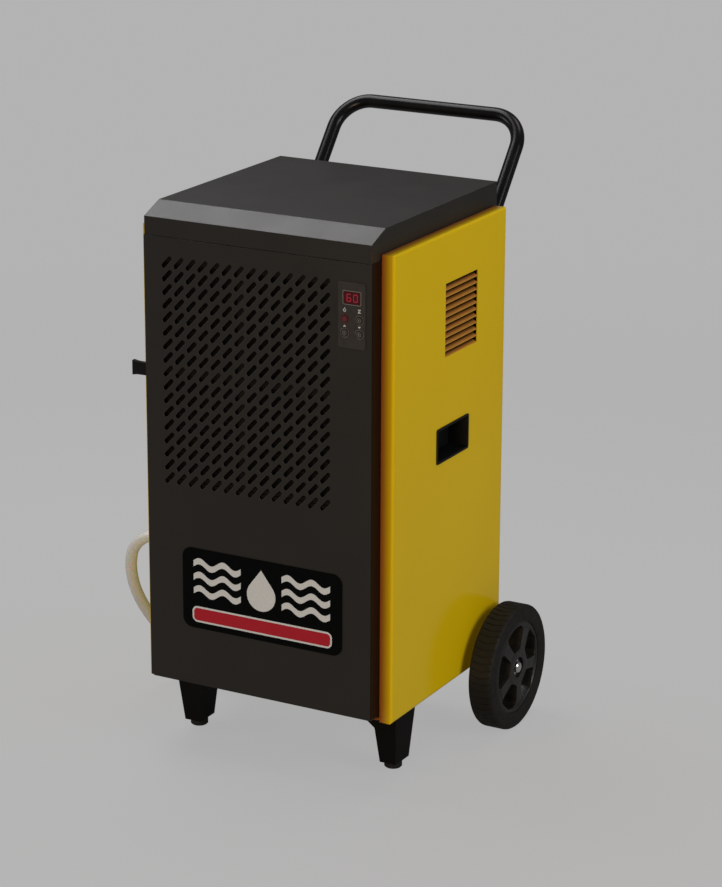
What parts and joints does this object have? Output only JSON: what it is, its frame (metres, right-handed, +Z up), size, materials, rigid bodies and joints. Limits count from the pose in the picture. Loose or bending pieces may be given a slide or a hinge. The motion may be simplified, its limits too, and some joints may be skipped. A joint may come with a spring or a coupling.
{
  "type": "portable dehumidifier",
  "caption": "Wheeled upright refrigerant dehumidifier with a slotted intake front, louvred side covers, a tubular push handle, a slide-out air filter and a drain hose.",
  "frame": {"origin": "on the floor, under the middle of the machine without its drain hose", "axes": "+X to the right seen from the front, +Y from the front panel to the back, +Z up"},
  "size_m": [0.6253, 0.6766, 0.955],
  "materials": {
    "case_paint": "fine textured powder coat, satin",
    "cover_paint": "smooth semi-gloss powder coat",
    "tube_paint": "smooth gloss paint",
    "grip_plastic": "moulded, lightly grained",
    "foot_rubber": "moulded rubber",
    "tyre_rubber": "moulded solid tyre with cross grooves",
    "rim_plastic": "moulded polypropylene",
    "zinc_steel": "zinc plated",
    "bright_cap": "bright pressed cap",
    "leg_paint": "matt black powder coat",
    "badge_black": "gloss film over a flat plate",
    "panel_film": "satin film over a flat plate",
    "print_white": "printed white",
    "print_red": "printed red",
    "display_red": "smoked red window",
    "button_plastic": "soft moulded buttons",
    "board_green": "coated circuit board",
    "fin_aluminium": "thin rolled fins",
    "copper_tube": "drawn copper tube, slightly dulled",
    "tray_plastic": "moulded grey plastic",
    "hose_vinyl": "clear cream vinyl"
  },
  "bodies": {
    "cabinet": {"base_pan": "case_paint", "front_panel": "case_paint", "cabinet_side_left": "case_paint", "cabinet_side_right": "case_paint", "rear_panel": "case_paint", "lid": "case_paint", "side_cover_left": "cover_paint", "side_cover_right": "cover_paint", "grip_cup_left": "grip_plastic", "grip_cup_right": "grip_plastic", "leg_left": "leg_paint", "leg_right": "leg_paint", "foot_left": "foot_rubber", "foot_right": "foot_rubber", "axle": "zinc_steel", "axle_brackets": "leg_paint", "axle_caps": "bright_cap", "push_handle": "tube_paint", "handle_clamps": "tube_paint", "handle_bolts": "zinc_steel", "badge_plate": "badge_black", "badge_emblem": "print_white", "badge_bar": "print_red", "control_panel": "panel_film", "display_window": "display_red", "control_board": "board_green", "filter_rails": "grip_plastic", "evaporator_fins": "fin_aluminium", "evaporator_tubes": "copper_tube", "condenser_fins": "fin_aluminium", "condenser_tubes": "copper_tube", "drip_tray": "tray_plastic", "drain_spigot": "grip_plastic", "hose_clip": "zinc_steel", "drain_hose": "hose_vinyl", "hose_coil": "hose_vinyl", "compressor": "tube_paint", "compressor_mounts": "foot_rubber", "accumulator": "tube_paint", "refrigerant_pipes": "copper_tube", "fan_shroud": "zinc_steel", "fan_motor": "tube_paint", "motor_bracket": "zinc_steel", "control_box": "zinc_steel", "power_board": "board_green", "humidity_sensor": "print_white", "cable_gland": "grip_plastic", "cabinet_screws": "zinc_steel"},
    "wheel_left": {"tyre_left": "tyre_rubber", "rim_left": "rim_plastic"},
    "wheel_right": {"tyre_right": "tyre_rubber", "rim_right": "rim_plastic"},
    "fan": {"fan_impeller": "grip_plastic"},
    "air_filter": {"filter_frame": "grip_plastic", "filter_grid": "grip_plastic"},
    "power_button": {"button_power": "button_plastic"},
    "timer_button": {"button_timer": "button_plastic"},
    "up_button": {"button_up": "button_plastic"},
    "down_button": {"button_down": "button_plastic"}
  },
  "joints": [
    {"name": "wheel_left_spin", "type": "hinge", "parent": "cabinet", "child": "wheel_left", "pos_m": [-0.2515, 0.068, 0.1015], "axis": [1, 0, 0], "continuous": true},
    {"name": "wheel_right_spin", "type": "hinge", "parent": "cabinet", "child": "wheel_right", "pos_m": [0.2515, 0.068, 0.1015], "axis": [1, 0, 0], "continuous": true},
    {"name": "fan_spin", "type": "hinge", "parent": "cabinet", "child": "fan", "pos_m": [0, -0.072, 0.59], "axis": [0, 1, 0], "continuous": true},
    {"name": "filter_slide", "type": "slide", "parent": "cabinet", "child": "air_filter", "axis": [-1, 0, 0], "range_m": [0, 0.33]},
    {"name": "power_press", "type": "slide", "parent": "cabinet", "child": "power_button", "axis": [0, 1, 0], "range_m": [0, 0.001], "stiffness_N_per_m": 900},
    {"name": "timer_press", "type": "slide", "parent": "cabinet", "child": "timer_button", "axis": [0, 1, 0], "range_m": [0, 0.001], "stiffness_N_per_m": 900},
    {"name": "up_press", "type": "slide", "parent": "cabinet", "child": "up_button", "axis": [0, 1, 0], "range_m": [0, 0.001], "stiffness_N_per_m": 900},
    {"name": "down_press", "type": "slide", "parent": "cabinet", "child": "down_button", "axis": [0, 1, 0], "range_m": [0, 0.001], "stiffness_N_per_m": 900}
  ]
}
